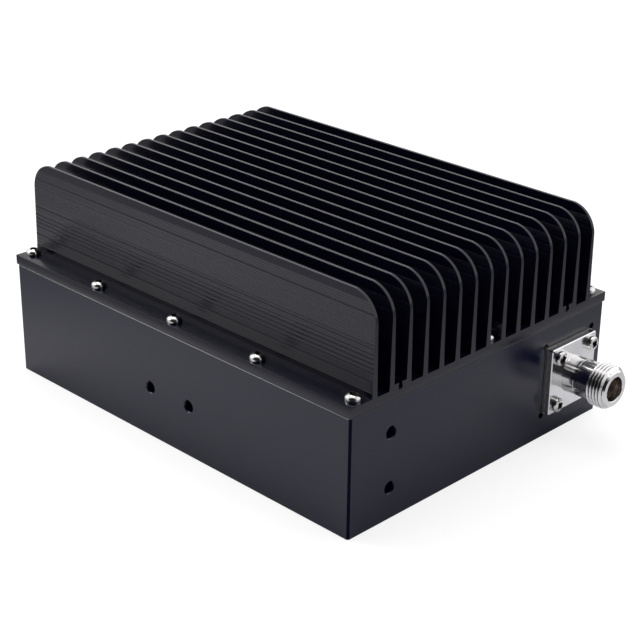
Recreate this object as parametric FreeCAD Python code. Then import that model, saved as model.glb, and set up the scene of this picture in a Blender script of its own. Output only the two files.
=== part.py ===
import FreeCAD, Part
import os

# RF dummy load: a milled box, a finned extrusion screwed down as its lid, and a coaxial
# panel connector on an inner load block that shows through a square window in the front.
# Millimetres. The origin is the centre of the box's bottom face, +Z is up, the connector
# points along -Y and stands towards +X.

V = FreeCAD.Vector
X_AXIS = V(1, 0, 0)
Y_AXIS = V(0, 1, 0)
Z_AXIS = V(0, 0, 1)

# Milled box
BOX_WIDTH = 132.0
BOX_DEPTH = 173.6
BOX_HEIGHT = 43.6
SIDE_WALL = 6.5
END_WALL = 7.0
FLOOR = 3.0
CAVITY_CORNER_R = 6.0
BOX_UPRIGHT_CHAMFER = 0.75
BOX_RIM_CHAMFER = 0.3

# Finned extrusion
LID_OVERHANG = 0.2
LID_PLATE = 3.8
FIN_COUNT = 15
LEDGE_WIDTH = 9.65
FIN_HEIGHT = 34.7
FIN_ROOT = 2.35
FIN_TIP = 1.05
FIN_TIP_CHAMFER = 0.25
FIN_CORNER_R = 10.2

# Keyhole screw ports that run along the extrusion in two of its channels
PORT_CHANNELS = (2, 13)
PORT_SHOULDER = 1.6
PORT_SLOT = 1.5
PORT_BORE_R = 1.05

# Lid screws: M3 pan heads
LID_SCREW_EDGE = 3.3
LID_SCREW_CORNER_INSET = 1.6
LID_SCREW_END_INSET = 4.0
LID_SCREWS_PER_SIDE = 5
LID_SCREW_GRIP = 4.2
SPOT_FACE_HEIGHT = 4.0

# Screw sizes: shank radius, head radius and height, the head's straight side and the
# radius of its flat top, and the cross recess's width, blade and depth
M3 = {"shank": 1.5, "head": 2.7, "height": 2.5, "side": 1.1, "top": 1.7,
      "recess": 3.0, "blade": 0.62, "depth": 1.4}
M3_FULL_HEAD = {"shank": 1.5, "head": 2.7, "height": 2.3, "side": 1.8, "top": 2.3,
                "recess": 3.0, "blade": 0.62, "depth": 1.4}
M2 = {"shank": 1.0, "head": 1.9, "height": 1.5, "side": 0.7, "top": 1.2,
      "recess": 2.0, "blade": 0.45, "depth": 0.9}

# Clearances
THREAD_CLEARANCE = 0.05
HOLE_CLEARANCE = 0.15
HEAD_CLEARANCE = 0.35
HOLE_END_GAP = 1.2
COAX_CLEARANCE = 0.02
WINDOW_CLEARANCE = 0.6
BLOCK_WALL_GAP = 0.6
BLOCK_SCREW_END_GAP = 2.0

# Tapped fixing holes in the box: M5, blind
FIXING_HOLE_R = 2.1
FIXING_HOLE_DEPTH = 5.0
FIXING_HOLE_CHAMFER = 0.35
SIDE_HOLE_SPACING = 20.3
SIDE_HOLE_Z = 19.6
FRONT_HOLE_INSET = 19.1
FRONT_HOLE_Z = 22.0
FRONT_HOLE_SPACING = 20.2

# Panel connector
CONNECTOR_Z = 22.5
FLANGE_SIDE = 25.4
FLANGE_THICKNESS = 2.0
FLANGE_EDGE_CHAMFER = 0.3
FLANGE_HOLE_SPACING = 18.26
BARREL_R = 6.9
THREAD_R = 7.94
THREAD_START = 10.8
THREAD_END = 16.6
THREAD_BACK_CHAMFER = 0.5
NOSE_R = 6.9
NOSE_START = 17.3
NOSE_END = 18.3
NOSE_EDGE = 0.6
MOUTH_R = 4.75
SOCKET_R = 4.55
MOUTH_CHAMFER = 0.2
SOCKET_DEPTH = 8.8
LINE_R = 3.5
CONTACT_R = 1.52
CONTACT_BORE_R = 0.84
CONTACT_BORE_DEPTH = 7.0
CONTACT_RECESS = 4.6
CONTACT_SLOT = 0.3
CONTACT_SLOT_LENGTH = 5.0
CONNECTOR_SCREW_GRIP = 6.0

# Load block behind the connector, and the pocket milled in it
BLOCK_PROUD = 0.8
BLOCK_LENGTH = 80.0
BLOCK_FRONT_SOLID = 18.0
BLOCK_REAR_SOLID = 12.0
BLOCK_POCKET_WALL = 4.0
POCKET_CORNER_R = 3.0
WINDOW_RELIEF_R = 1.3

# Cover over the pocket, on the block's underside
COVER_THICKNESS = 2.0
COVER_MARGIN = 5.0
COVER_SCREW_GRIP = 4.0

# Screws that hold the block up against the spreader
BLOCK_SCREW_FRONT = 13.5
BLOCK_SCREW_REAR = 7.5
BLOCK_SCREW_SPACING = 18.0
BLOCK_COUNTERBORE = 3.0

# Heat spreader between the block and the underside of the finned lid
SPREADER_WIDTH = 92.0
SPREADER_END_GAP = 0.6
SPREADER_SCREW_GRIP = 2.8
SPREADER_COUNTERBORE = 2.6
SPREADER_SCREW_COLUMNS = 3
SPREADER_SCREW_INSET = 8.0

# Termination resistor in the pocket, as width, length and thickness of each layer
RESISTOR_CARRIER = (16.0, 24.8, 3.2)
RESISTOR_CHIP = (9.5, 9.5, 1.5)
RESISTOR_CAP = (8.4, 6.6, 1.2)
RESISTOR_TAB_WIDTH = 2.4
RESISTOR_TAB_THICKNESS = 0.2
RESISTOR_TAB_ON_CHIP = 1.8
RESISTOR_HOLE_INSET = 2.6
RESISTOR_SCREW_GRIP = 4.0
TAIL_R = 0.65
TAIL_LENGTH = 4.0
TAIL_TO_CARRIER = 1.5

# Places worked out from the sizes above
LID_WIDTH = BOX_WIDTH + 2 * LID_OVERHANG
LID_DEPTH = BOX_DEPTH + 2 * LID_OVERHANG
LID_TOP = BOX_HEIGHT + LID_PLATE
FIN_TOP = LID_TOP + FIN_HEIGHT
FIN_PITCH = (LID_WIDTH - 2 * LEDGE_WIDTH - FIN_ROOT) / (FIN_COUNT - 1)
END_SCREW_X = FIN_PITCH / 2
FRONT_HOLE_X = FRONT_HOLE_INSET - BOX_WIDTH / 2
CONNECTOR_X = BOX_WIDTH / 2 - SIDE_WALL - BLOCK_WALL_GAP - FLANGE_SIDE / 2
FRONT_Y = -BOX_DEPTH / 2
BLOCK_FRONT_Y = FRONT_Y - BLOCK_PROUD
FLANGE_FRONT_Y = BLOCK_FRONT_Y - FLANGE_THICKNESS
TIP_Y = FLANGE_FRONT_Y - NOSE_END
BLOCK_REAR_Y = BLOCK_FRONT_Y + BLOCK_LENGTH
BLOCK_TOP = CONNECTOR_Z + FLANGE_SIDE / 2
BLOCK_BOTTOM = CONNECTOR_Z - FLANGE_SIDE / 2
BLOCK_LEFT = CONNECTOR_X - FLANGE_SIDE / 2
BLOCK_RIGHT = CONNECTOR_X + FLANGE_SIDE / 2
POCKET_FRONT_Y = BLOCK_FRONT_Y + BLOCK_FRONT_SOLID
POCKET_REAR_Y = BLOCK_REAR_Y - BLOCK_REAR_SOLID
POCKET_HALF = FLANGE_SIDE / 2 - BLOCK_POCKET_WALL
TAB_UNDERSIDE = CONNECTOR_Z + TAIL_R
CHIP_UNDERSIDE = TAB_UNDERSIDE + RESISTOR_TAB_THICKNESS
RESISTOR_UNDERSIDE = CHIP_UNDERSIDE + RESISTOR_CHIP[2]
POCKET_ROOF = RESISTOR_UNDERSIDE + RESISTOR_CARRIER[2]
RESISTOR_FRONT_Y = POCKET_FRONT_Y + TAIL_LENGTH + TAIL_TO_CARRIER
RESISTOR_Y = RESISTOR_FRONT_Y + RESISTOR_CARRIER[1] / 2
SPREADER_THICKNESS = BOX_HEIGHT - BLOCK_TOP
BLOCK_SCREW_GRIP = SPREADER_THICKNESS - BLOCK_SCREW_END_GAP
SPREADER_LEFT = BLOCK_RIGHT - SPREADER_WIDTH
SPREADER_DEPTH = BOX_DEPTH - 2 * (END_WALL + SPREADER_END_GAP)


def block(low, high):
    """A rectangular solid between two opposite corners."""
    return Part.makeBox(high[0] - low[0], high[1] - low[1], high[2] - low[2], V(*low))


def rod(radius, length, start, direction):
    """A cylinder from a start point along a direction."""
    return Part.makeCylinder(radius, length, V(*start), direction)


def turned(points, centre, direction):
    """A solid turned from (radius, height) points about an axis through a centre."""
    outline = [V(radius, 0, height) for radius, height in points]
    face = Part.Face(Part.makePolygon(outline + outline[:1]))
    solid = face.revolve(V(0, 0, 0), Z_AXIS, 360)
    solid.Placement = FreeCAD.Placement(V(*centre), FreeCAD.Rotation(Z_AXIS, direction))
    return solid


def upright_edges(solid):
    """The vertical edges of a box-shaped solid."""
    return [edge for edge in solid.Edges if abs(edge.tangentAt(edge.FirstParameter).z) > 0.999]


def level_edges(solid):
    """The edges of a box-shaped solid that lie in its top and bottom faces."""
    return [edge for edge in solid.Edges if abs(edge.tangentAt(edge.FirstParameter).z) < 0.001]


def pan_screw(size, length):
    """A pan-head screw with a cross recess, its head's underside on z = 0 and shank down."""
    head, height, half_blade = size["head"], size["height"], size["blade"] / 2
    screw = turned([(0, -length), (size["shank"], -length), (size["shank"], 0), (head, 0),
                    (head, size["side"]), (size["top"], height), (0, height)], (0, 0, 0), Z_AXIS)
    wide, narrow, bottom = size["recess"] / 2, half_blade, height - size["depth"]
    outline = [V(-wide, -half_blade, height), V(wide, -half_blade, height),
               V(narrow, -half_blade, bottom), V(-narrow, -half_blade, bottom)]
    blade = Part.Face(Part.makePolygon(outline + outline[:1])).extrude(V(0, size["blade"], 0))
    for turn in (0, 90):
        arm = blade.copy()
        arm.rotate(V(0, 0, 0), Z_AXIS, turn)
        screw = screw.cut(arm)
    return screw


def placed_screw(size, length, seat, outward):
    """A screw with its head's underside on a seat, its head standing outward."""
    screw = pan_screw(size, length)
    screw.Placement = FreeCAD.Placement(V(*seat), FreeCAD.Rotation(Z_AXIS, outward))
    return screw


def lid_screw_seats():
    """The name and (x, y) of each screw that holds the finned lid down."""
    seats = []
    row_x = BOX_WIDTH / 2 - LID_SCREW_EDGE
    end_y = LID_DEPTH / 2 - LID_SCREW_END_INSET
    step = 2 * end_y / (LID_SCREWS_PER_SIDE - 1)
    for side, sign in (("left", -1), ("right", 1)):
        for index in range(LID_SCREWS_PER_SIDE):
            at_corner = index in (0, LID_SCREWS_PER_SIDE - 1)
            x = sign * (row_x - (LID_SCREW_CORNER_INSET if at_corner else 0))
            seats.append(("lid_screw_%s_%d" % (side, index + 1), x, index * step - end_y))
    seats.append(("lid_screw_front", END_SCREW_X, -end_y))
    seats.append(("lid_screw_back", END_SCREW_X, end_y))
    return seats


def flange_corners():
    """The (x, z) of the four screws in the connector's flange."""
    half = FLANGE_HOLE_SPACING / 2
    return [(CONNECTOR_X + i * half, CONNECTOR_Z + k * half) for k in (1, -1) for i in (-1, 1)]


def block_screw_seats():
    """The (x, y) of the screws that hold the load block up against the spreader."""
    half = BLOCK_SCREW_SPACING / 2
    rows = (BLOCK_FRONT_Y + BLOCK_SCREW_FRONT, BLOCK_REAR_Y - BLOCK_SCREW_REAR)
    return [(CONNECTOR_X + i * half, y) for y in rows for i in (-1, 1)]


def cover_screw_seats():
    """The (x, y) of the cover's corner screws, centred in the pocket's side walls."""
    reach = FLANGE_SIDE / 2 - BLOCK_POCKET_WALL / 2
    rows = (POCKET_FRONT_Y + COVER_MARGIN, POCKET_REAR_Y - COVER_MARGIN)
    return [(CONNECTOR_X + i * reach, y) for y in rows for i in (-1, 1)]


def spreader_screw_seats():
    """The (x, y) of the screws that hold the spreader up against the lid."""
    first = SPREADER_LEFT + SPREADER_SCREW_INSET
    last = BLOCK_LEFT - SPREADER_SCREW_INSET
    step = (last - first) / (SPREADER_SCREW_COLUMNS - 1)
    reach = SPREADER_DEPTH / 2 - SPREADER_SCREW_INSET
    return [(first + column * step, j * reach)
            for j in (-1, 1) for column in range(SPREADER_SCREW_COLUMNS)]


def resistor_screw_seats():
    """The (x, y) of the screws in the corners of the resistor's carrier."""
    half_x = RESISTOR_CARRIER[0] / 2 - RESISTOR_HOLE_INSET
    half_y = RESISTOR_CARRIER[1] / 2 - RESISTOR_HOLE_INSET
    return [(CONNECTOR_X + i * half_x, RESISTOR_Y + j * half_y) for j in (-1, 1) for i in (-1, 1)]


def fin_x(index):
    """The centre of a fin, counted from 0 at the left."""
    return (index - (FIN_COUNT - 1) / 2) * FIN_PITCH


def fin_half(z):
    """Half a fin's thickness at a height on its tapered flanks."""
    share = (z - LID_TOP) / (FIN_HEIGHT - FIN_TIP_CHAMFER)
    return (FIN_ROOT + (FIN_TIP - FIN_ROOT) * share) / 2


def fin_tip_section(index):
    """The four points of a fin's chamfered tip, from left to right."""
    x, tip, shoulder = fin_x(index), FIN_TIP / 2, FIN_TOP - FIN_TIP_CHAMFER
    return [(x - tip, shoulder), (x - tip + FIN_TIP_CHAMFER, FIN_TOP),
            (x + tip - FIN_TIP_CHAMFER, FIN_TOP), (x + tip, shoulder)]


def channel_section(channel):
    """The floor between two fins, plain or raised into a screw port's slotted shoulders."""
    left, right = fin_x(channel - 1), fin_x(channel)
    if channel not in PORT_CHANNELS:
        return [(left + FIN_ROOT / 2, LID_TOP), (right - FIN_ROOT / 2, LID_TOP)]
    middle, raised = (left + right) / 2, LID_TOP + PORT_SHOULDER
    return [(left + fin_half(raised), raised), (middle - PORT_SLOT / 2, raised),
            (middle - PORT_SLOT / 2, LID_TOP), (middle + PORT_SLOT / 2, LID_TOP),
            (middle + PORT_SLOT / 2, raised), (right - fin_half(raised), raised)]


def heatsink():
    """The extruded lid: plate, fins and screw ports, with its drilled holes."""
    half_w, half_d = LID_WIDTH / 2, LID_DEPTH / 2
    outer_root = fin_x(FIN_COUNT - 1) + FIN_ROOT / 2
    section = [(-half_w, BOX_HEIGHT), (-half_w, LID_TOP), (-outer_root, LID_TOP)]
    for index in range(FIN_COUNT):
        section += fin_tip_section(index)
        if index + 1 < FIN_COUNT:
            section += channel_section(index + 1)
    section += [(outer_root, LID_TOP), (half_w, LID_TOP), (half_w, BOX_HEIGHT)]
    outline = [V(x, -half_d, z) for x, z in section]
    lid = Part.Face(Part.makePolygon(outline + outline[:1])).extrude(V(0, LID_DEPTH, 0))

    for port in PORT_CHANNELS:
        centre = (fin_x(port - 1) + fin_x(port)) / 2
        lid = lid.cut(rod(PORT_BORE_R, LID_DEPTH, (centre, -half_d, LID_TOP), Y_AXIS))

    corner_z = FIN_TOP - FIN_CORNER_R
    for end in (-1, 1):
        arc_y = end * (half_d - FIN_CORNER_R)
        low_y, high_y = sorted((arc_y, end * half_d))
        waste = block((-half_w, low_y, corner_z), (half_w, high_y, FIN_TOP))
        waste = waste.cut(rod(FIN_CORNER_R, LID_WIDTH, (-half_w, arc_y, corner_z), X_AXIS))
        lid = lid.cut(waste)

    hole_r = M3["shank"] + HOLE_CLEARANCE
    for name, x, y in lid_screw_seats():
        lid = lid.cut(rod(hole_r, LID_PLATE, (x, y, BOX_HEIGHT), Z_AXIS))
        if name.endswith(("front", "back")):
            lid = lid.cut(rod(M3["head"] + HEAD_CLEARANCE, SPOT_FACE_HEIGHT, (x, y, LID_TOP), Z_AXIS))
    tapped_r = M3["shank"] + THREAD_CLEARANCE
    for x, y in spreader_screw_seats():
        lid = lid.cut(rod(tapped_r, SPREADER_SCREW_GRIP + THREAD_CLEARANCE, (x, y, BOX_HEIGHT), Z_AXIS))
    return lid


def window_cutter():
    """The square window in the front wall, with a drilled relief at each corner."""
    half = FLANGE_SIDE / 2 + WINDOW_CLEARANCE
    depth = END_WALL + CAVITY_CORNER_R
    cutter = block((CONNECTOR_X - half, FRONT_Y, CONNECTOR_Z - half),
                   (CONNECTOR_X + half, FRONT_Y + depth, CONNECTOR_Z + half))
    for i in (-1, 1):
        for k in (-1, 1):
            corner = (CONNECTOR_X + i * half, FRONT_Y, CONNECTOR_Z + k * half)
            cutter = cutter.fuse(rod(WINDOW_RELIEF_R, depth, corner, Y_AXIS))
    return cutter


def fixing_hole(start, inward):
    """A blind tapped hole with a chamfered mouth, from a face inwards."""
    r, c = FIXING_HOLE_R, FIXING_HOLE_CHAMFER
    return turned([(0, 0), (r + c, 0), (r, c), (r, FIXING_HOLE_DEPTH),
                   (0, FIXING_HOLE_DEPTH + r / 2)], start, inward)


def enclosure():
    """The box milled from one billet, open at the top."""
    half_w, half_d = BOX_WIDTH / 2, BOX_DEPTH / 2
    box = block((-half_w, -half_d, 0), (half_w, half_d, BOX_HEIGHT))
    box = box.makeChamfer(BOX_UPRIGHT_CHAMFER, upright_edges(box))
    box = box.makeChamfer(BOX_RIM_CHAMFER, level_edges(box))
    cavity = block((-half_w + SIDE_WALL, -half_d + END_WALL, FLOOR),
                   (half_w - SIDE_WALL, half_d - END_WALL, BOX_HEIGHT))
    cavity = cavity.makeFillet(CAVITY_CORNER_R, upright_edges(cavity))
    box = box.cut(cavity).cut(window_cutter())

    for _, x, y in lid_screw_seats():
        depth = LID_SCREW_GRIP + HOLE_END_GAP
        box = box.cut(rod(M3["shank"] + THREAD_CLEARANCE, depth, (x, y, BOX_HEIGHT - depth), Z_AXIS))
    for side in (-1, 1):
        for j in (-1, 1):
            start = (side * half_w, j * SIDE_HOLE_SPACING / 2, SIDE_HOLE_Z)
            box = box.cut(fixing_hole(start, V(-side, 0, 0)))
    for k in (-1, 1):
        start = (FRONT_HOLE_X, FRONT_Y, FRONT_HOLE_Z + k * FRONT_HOLE_SPACING / 2)
        box = box.cut(fixing_hole(start, Y_AXIS))
    return box


def connector_body():
    """The flanged shell of the panel connector, its thread left as a plain cylinder."""
    half = FLANGE_SIDE / 2
    flange = block((CONNECTOR_X - half, FLANGE_FRONT_Y, CONNECTOR_Z - half),
                   (CONNECTOR_X + half, BLOCK_FRONT_Y, CONNECTOR_Z + half))
    front_edges = [edge for edge in flange.Edges if edge.CenterOfMass.y < BLOCK_FRONT_Y]
    flange = flange.makeChamfer(FLANGE_EDGE_CHAMFER, front_edges)
    shell = turned([(0, 0), (BARREL_R, 0), (BARREL_R, THREAD_START),
                    (THREAD_R, THREAD_START + THREAD_BACK_CHAMFER), (THREAD_R, THREAD_END),
                    (NOSE_R, NOSE_START), (NOSE_R, NOSE_END - NOSE_EDGE),
                    (NOSE_R - NOSE_EDGE, NOSE_END), (0, NOSE_END)],
                   (CONNECTOR_X, FLANGE_FRONT_Y, CONNECTOR_Z), V(0, -1, 0))
    bore = turned([(0, 0), (MOUTH_R, 0), (SOCKET_R, MOUTH_CHAMFER), (SOCKET_R, SOCKET_DEPTH),
                   (LINE_R, SOCKET_DEPTH), (LINE_R, NOSE_END + FLANGE_THICKNESS),
                   (0, NOSE_END + FLANGE_THICKNESS)],
                  (CONNECTOR_X, TIP_Y, CONNECTOR_Z), Y_AXIS)
    body = flange.fuse(shell).cut(bore)
    for x, z in flange_corners():
        body = body.cut(rod(M3["shank"] + HOLE_CLEARANCE, FLANGE_THICKNESS, (x, FLANGE_FRONT_Y, z), Y_AXIS))
    return body.removeSplitter()


def connector_dielectric():
    """The insulating sleeve between the shell's bore and the centre contact."""
    start = TIP_Y + SOCKET_DEPTH
    sleeve = rod(LINE_R - COAX_CLEARANCE, POCKET_FRONT_Y - start, (CONNECTOR_X, start, CONNECTOR_Z), Y_AXIS)
    hole = rod(CONTACT_R + COAX_CLEARANCE, POCKET_FRONT_Y - start, (CONNECTOR_X, start, CONNECTOR_Z), Y_AXIS)
    return sleeve.cut(hole)


def connector_contact():
    """The slotted socket contact, with a solder tail that reaches into the pocket."""
    front = TIP_Y + CONTACT_RECESS
    length = POCKET_FRONT_Y - front
    contact = turned([(CONTACT_BORE_R, 0), (CONTACT_R, 0), (CONTACT_R, length), (TAIL_R, length),
                      (TAIL_R, length + TAIL_LENGTH), (0, length + TAIL_LENGTH),
                      (0, CONTACT_BORE_DEPTH), (CONTACT_BORE_R, CONTACT_BORE_DEPTH)],
                     (CONNECTOR_X, front, CONNECTOR_Z), Y_AXIS)
    for turn in (0, 90):
        slot = block((-CONTACT_R, 0, -CONTACT_SLOT / 2), (CONTACT_R, CONTACT_SLOT_LENGTH, CONTACT_SLOT / 2))
        slot.rotate(V(0, 0, 0), Y_AXIS, turn)
        slot.translate(V(CONNECTOR_X, front, CONNECTOR_Z))
        contact = contact.cut(slot)
    return contact


def load_block():
    """The block that carries the connector and holds the resistor in a pocket below its roof."""
    half = FLANGE_SIDE / 2
    body = block((CONNECTOR_X - half, BLOCK_FRONT_Y, BLOCK_BOTTOM), (BLOCK_RIGHT, BLOCK_REAR_Y, BLOCK_TOP))
    pocket = block((CONNECTOR_X - POCKET_HALF, POCKET_FRONT_Y, BLOCK_BOTTOM),
                   (CONNECTOR_X + POCKET_HALF, POCKET_REAR_Y, POCKET_ROOF))
    pocket = pocket.makeFillet(POCKET_CORNER_R, upright_edges(pocket))
    body = body.cut(pocket)
    body = body.cut(rod(LINE_R, BLOCK_FRONT_SOLID, (CONNECTOR_X, BLOCK_FRONT_Y, CONNECTOR_Z), Y_AXIS))
    tapped_r = M3["shank"] + THREAD_CLEARANCE
    for x, z in flange_corners():
        depth = CONNECTOR_SCREW_GRIP + HOLE_END_GAP
        body = body.cut(rod(tapped_r, depth, (x, BLOCK_FRONT_Y, z), Y_AXIS))
    for x, y in block_screw_seats():
        body = body.cut(rod(M3["shank"] + HOLE_CLEARANCE, FLANGE_SIDE, (x, y, BLOCK_BOTTOM), Z_AXIS))
        body = body.cut(rod(M3["head"] + HEAD_CLEARANCE, BLOCK_COUNTERBORE, (x, y, BLOCK_BOTTOM), Z_AXIS))
    for x, y in cover_screw_seats():
        depth = COVER_SCREW_GRIP + HOLE_END_GAP
        body = body.cut(rod(M2["shank"] + THREAD_CLEARANCE, depth, (x, y, BLOCK_BOTTOM), Z_AXIS))
    for x, y in resistor_screw_seats():
        depth = RESISTOR_SCREW_GRIP + HOLE_END_GAP
        body = body.cut(rod(M2["shank"] + THREAD_CLEARANCE, depth, (x, y, POCKET_ROOF), Z_AXIS))
    return body


def load_cover():
    """The plate that closes the pocket from below."""
    half = FLANGE_SIDE / 2
    plate = block((CONNECTOR_X - half, POCKET_FRONT_Y, BLOCK_BOTTOM - COVER_THICKNESS),
                  (BLOCK_RIGHT, POCKET_REAR_Y, BLOCK_BOTTOM))
    for x, y in cover_screw_seats():
        hole = rod(M2["shank"] + HOLE_CLEARANCE, COVER_THICKNESS, (x, y, BLOCK_BOTTOM - COVER_THICKNESS), Z_AXIS)
        plate = plate.cut(hole)
    return plate


def heat_spreader():
    """The thick plate that carries heat from the load block into the finned lid."""
    half_d = SPREADER_DEPTH / 2
    plate = block((SPREADER_LEFT, -half_d, BLOCK_TOP), (BLOCK_RIGHT, half_d, BOX_HEIGHT))
    plate = plate.makeFillet(CAVITY_CORNER_R, upright_edges(plate))
    for x, y in spreader_screw_seats():
        plate = plate.cut(rod(M3["shank"] + HOLE_CLEARANCE, SPREADER_THICKNESS, (x, y, BLOCK_TOP), Z_AXIS))
        plate = plate.cut(rod(M3["head"] + HEAD_CLEARANCE, SPREADER_COUNTERBORE, (x, y, BLOCK_TOP), Z_AXIS))
    for x, y in block_screw_seats():
        depth = BLOCK_SCREW_GRIP + HOLE_END_GAP
        plate = plate.cut(rod(M3["shank"] + THREAD_CLEARANCE, depth, (x, y, BLOCK_TOP), Z_AXIS))
    return plate


def resistor_layer(size, front_y, underside):
    """One flat layer of the termination resistor, centred under the connector's axis."""
    width, length, thickness = size
    return block((CONNECTOR_X - width / 2, front_y, underside),
                 (CONNECTOR_X + width / 2, front_y + length, underside + thickness))


def resistor_pieces():
    """The termination resistor: metal carrier, ceramic chip, ceramic cap and input tab."""
    carrier = resistor_layer(RESISTOR_CARRIER, RESISTOR_FRONT_Y, RESISTOR_UNDERSIDE)
    hole_r = M2["shank"] + HOLE_CLEARANCE
    for x, y in resistor_screw_seats():
        carrier = carrier.cut(rod(hole_r, RESISTOR_CARRIER[2], (x, y, RESISTOR_UNDERSIDE), Z_AXIS))
    chip_front = RESISTOR_Y - RESISTOR_CHIP[1] / 2
    cap_front = RESISTOR_Y + RESISTOR_CHIP[1] / 2 - RESISTOR_CAP[1]
    tab_front = POCKET_FRONT_Y + TAIL_LENGTH / 4
    tab_length = chip_front + RESISTOR_TAB_ON_CHIP - tab_front
    tab = (RESISTOR_TAB_WIDTH, tab_length, RESISTOR_TAB_THICKNESS)
    return {
        "resistor_carrier": carrier,
        "resistor_chip": resistor_layer(RESISTOR_CHIP, chip_front, CHIP_UNDERSIDE),
        "resistor_cap": resistor_layer(RESISTOR_CAP, cap_front, CHIP_UNDERSIDE - RESISTOR_CAP[2]),
        "resistor_tab": resistor_layer(tab, tab_front, TAB_UNDERSIDE),
    }


def screws():
    """Every screw, each as a node of its own."""
    nodes = {}
    for name, x, y in lid_screw_seats():
        nodes[name] = placed_screw(M3, LID_PLATE + LID_SCREW_GRIP, (x, y, LID_TOP), Z_AXIS)
    for number, (x, z) in enumerate(flange_corners(), 1):
        length = FLANGE_THICKNESS + CONNECTOR_SCREW_GRIP
        seat = (x, FLANGE_FRONT_Y, z)
        nodes["connector_screw_%d" % number] = placed_screw(M3_FULL_HEAD, length, seat, V(0, -1, 0))
    down = V(0, 0, -1)
    for number, (x, y) in enumerate(cover_screw_seats(), 1):
        seat = (x, y, BLOCK_BOTTOM - COVER_THICKNESS)
        nodes["cover_screw_%d" % number] = placed_screw(M2, COVER_THICKNESS + COVER_SCREW_GRIP, seat, down)
    for number, (x, y) in enumerate(block_screw_seats(), 1):
        length = FLANGE_SIDE - BLOCK_COUNTERBORE + BLOCK_SCREW_GRIP
        seat = (x, y, BLOCK_BOTTOM + BLOCK_COUNTERBORE)
        nodes["block_screw_%d" % number] = placed_screw(M3, length, seat, down)
    for number, (x, y) in enumerate(spreader_screw_seats(), 1):
        length = SPREADER_THICKNESS - SPREADER_COUNTERBORE + SPREADER_SCREW_GRIP
        seat = (x, y, BLOCK_TOP + SPREADER_COUNTERBORE)
        nodes["spreader_screw_%d" % number] = placed_screw(M3, length, seat, down)
    for number, (x, y) in enumerate(resistor_screw_seats(), 1):
        length = RESISTOR_CARRIER[2] + RESISTOR_SCREW_GRIP
        seat = (x, y, RESISTOR_UNDERSIDE)
        nodes["resistor_screw_%d" % number] = placed_screw(M2, length, seat, down)
    return nodes


nodes = {
    "heatsink": heatsink(),
    "enclosure": enclosure(),
    "connector_body": connector_body(),
    "connector_dielectric": connector_dielectric(),
    "connector_contact": connector_contact(),
    "load_block": load_block(),
    "load_cover": load_cover(),
    "heat_spreader": heat_spreader(),
}
nodes.update(resistor_pieces())
nodes.update(screws())

os.makedirs("parts", exist_ok=True)
for node_name, shape in nodes.items():
    shape.exportStep("parts/%s.step" % node_name)
    print("%-24s solids %d  valid %s  volume %10.1f" % (
        node_name, len(shape.Solids), shape.isValid(), shape.Volume))
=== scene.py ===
import logging
import math
from dataclasses import dataclass, field
from enum import Enum

import bpy
import numpy as np
from mathutils import Matrix, Vector


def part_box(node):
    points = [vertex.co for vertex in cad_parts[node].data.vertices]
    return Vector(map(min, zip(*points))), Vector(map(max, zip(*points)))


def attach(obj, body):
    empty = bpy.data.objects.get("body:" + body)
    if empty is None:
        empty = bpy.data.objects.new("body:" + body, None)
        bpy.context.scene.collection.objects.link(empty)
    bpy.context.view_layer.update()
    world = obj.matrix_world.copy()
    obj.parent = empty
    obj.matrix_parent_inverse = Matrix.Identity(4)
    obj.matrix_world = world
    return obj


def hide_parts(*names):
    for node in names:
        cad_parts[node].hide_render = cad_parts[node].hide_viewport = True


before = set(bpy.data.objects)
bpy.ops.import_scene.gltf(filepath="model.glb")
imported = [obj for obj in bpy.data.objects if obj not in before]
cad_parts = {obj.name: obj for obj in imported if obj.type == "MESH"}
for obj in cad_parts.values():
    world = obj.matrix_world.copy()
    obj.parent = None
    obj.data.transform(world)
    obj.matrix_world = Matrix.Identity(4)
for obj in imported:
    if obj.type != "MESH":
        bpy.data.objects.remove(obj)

# RF dummy load: a black anodised box under a finned extrusion, with a coaxial panel
# connector in a square window of the front wall. Sizes in this file are millimetres and
# are turned into metres where a mesh is made. +Z is up and the connector points along -Y.

log = logging.getLogger("dummy_load")

METRES = 0.001
BODY = "root"
# How far a face's middle may lie off the surface that the face is told by
SLACK = 0.01
# Where in its range from 0 to 1 a noise mostly lies
NOISE_MIDDLE = (0.3, 0.7)
EVEN = (1.0, 1.0, 1.0)

Triple = tuple[float, float, float]


class Grain(Enum):
    """How a metal surface was worked, which sets the pattern in its finish."""

    EXTRUDED = "fine die lines along the length"
    MILLED = "an even satin skin"
    TURNED = "fine rings about the connector's axis"
    POLISHED = "a plain bright skin"


class Axis(Enum):
    """The way a screw's head faces."""

    UP = (0.0, 0.0, 1.0)
    FORWARD = (0.0, -1.0, 0.0)


class NodeTree:
    """A node tree, with short calls to add and join its nodes."""

    def __init__(self, tree: bpy.types.NodeTree) -> None:
        """Empties the tree and keeps it."""
        self.tree = tree
        tree.nodes.clear()

    def add(self, kind: str, **values: object) -> bpy.types.Node:
        """Adds a node and sets its properties, or its sockets where the name is a socket's.

        Args:
            kind: the node's type.
            values: a property or socket name, with blanks as underscores, and its value.

        Returns:
            The new node.
        """
        node = self.tree.nodes.new(kind)
        for key, value in values.items():
            if hasattr(node, key):
                setattr(node, key, value)
            else:
                node.inputs[key.replace("_", " ")].default_value = value
        return node

    def join(self, start: bpy.types.NodeSocket, end: bpy.types.NodeSocket) -> None:
        """Links an output to an input."""
        self.tree.links.new(start, end)


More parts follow.
